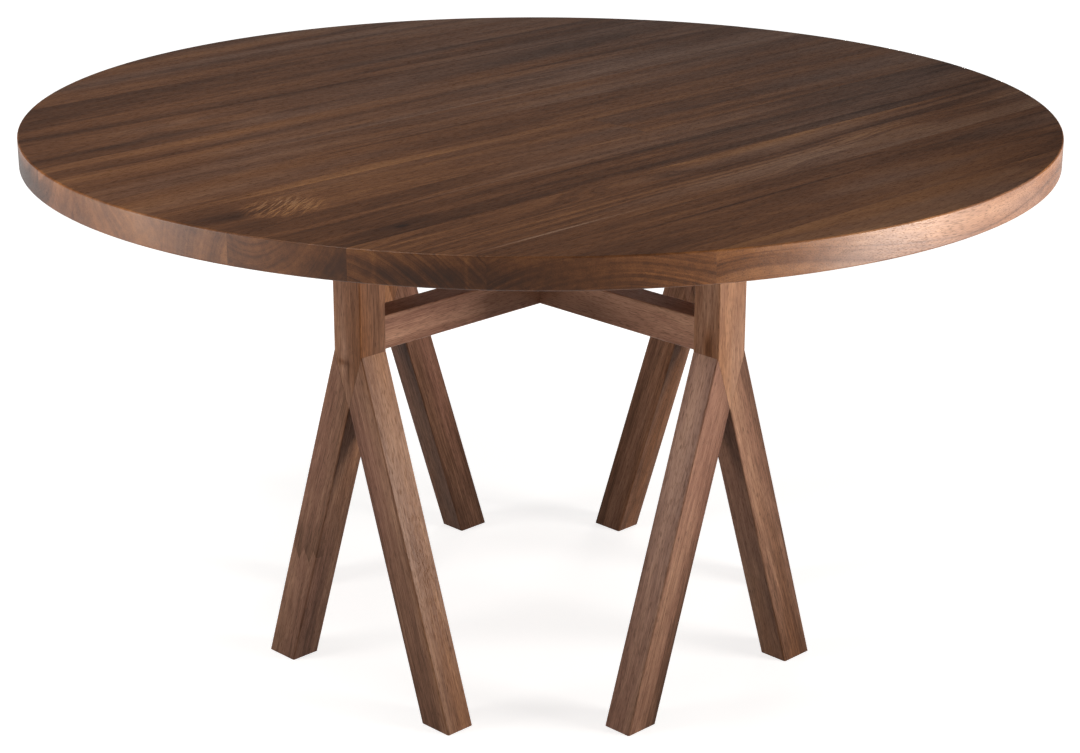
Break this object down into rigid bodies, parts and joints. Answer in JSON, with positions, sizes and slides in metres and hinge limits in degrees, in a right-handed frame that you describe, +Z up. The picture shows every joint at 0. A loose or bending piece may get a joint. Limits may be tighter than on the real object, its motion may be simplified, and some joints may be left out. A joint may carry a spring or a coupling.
{
  "type": "round dining table",
  "caption": "Round solid walnut dining table: a thick disc top of edge-glued boards on forked post-and-splayed-leg supports tied by crossing beams.",
  "frame": {"origin": "on the floor, under the centre of the round top", "axes": "+Z up; -Y is the side that faces the camera in the picture; the forks stand at 45, 135, 225 and 315 degrees from +X and the boards run at 45 degrees"},
  "size_m": [1.4, 1.4, 0.75],
  "materials": {
    "walnut": "solid black walnut, sanded and oiled to a low satin",
    "beech": "plain beech dowel rod, hidden in the fork joints",
    "black_steel": "flat bar, black powder coat",
    "zinc_steel": "bright zinc plate on turned steel"
  },
  "bodies": {
    "root": {"top_board_1": "walnut", "top_board_2": "walnut", "top_board_3": "walnut", "top_board_4": "walnut", "top_board_5_front": "walnut", "top_board_5_back": "walnut", "top_board_6": "walnut", "top_board_7": "walnut", "top_board_8": "walnut", "top_board_9": "walnut", "top_board_10": "walnut", "top_board_11": "walnut", "top_board_12": "walnut", "back_right_post": "walnut", "back_right_leg_toward_back": "walnut", "back_right_leg_toward_right": "walnut", "back_right_dowel_upper": "beech", "back_right_dowel_lower": "beech", "back_right_plate": "black_steel", "back_right_post_screw_1": "zinc_steel", "back_right_post_screw_2": "zinc_steel", "back_right_top_screw_1": "zinc_steel", "back_right_top_screw_2": "zinc_steel", "back_left_post": "walnut", "back_left_leg_toward_left": "walnut", "back_left_leg_toward_back": "walnut", "back_left_dowel_upper": "beech", "back_left_dowel_lower": "beech", "back_left_plate": "black_steel", "back_left_post_screw_1": "zinc_steel", "back_left_post_screw_2": "zinc_steel", "back_left_top_screw_1": "zinc_steel", "back_left_top_screw_2": "zinc_steel", "front_left_post": "walnut", "front_left_leg_toward_front": "walnut", "front_left_leg_toward_left": "walnut", "front_left_dowel_upper": "beech", "front_left_dowel_lower": "beech", "front_left_plate": "black_steel", "front_left_post_screw_1": "zinc_steel", "front_left_post_screw_2": "zinc_steel", "front_left_top_screw_1": "zinc_steel", "front_left_top_screw_2": "zinc_steel", "front_right_post": "walnut", "front_right_leg_toward_right": "walnut", "front_right_leg_toward_front": "walnut", "front_right_dowel_upper": "beech", "front_right_dowel_lower": "beech", "front_right_plate": "black_steel", "front_right_post_screw_1": "zinc_steel", "front_right_post_screw_2": "zinc_steel", "front_right_top_screw_1": "zinc_steel", "front_right_top_screw_2": "zinc_steel", "beam_front_left_to_back_right": "walnut", "beam_front_right_to_back_left": "walnut"}
  },
  "joints": []
}
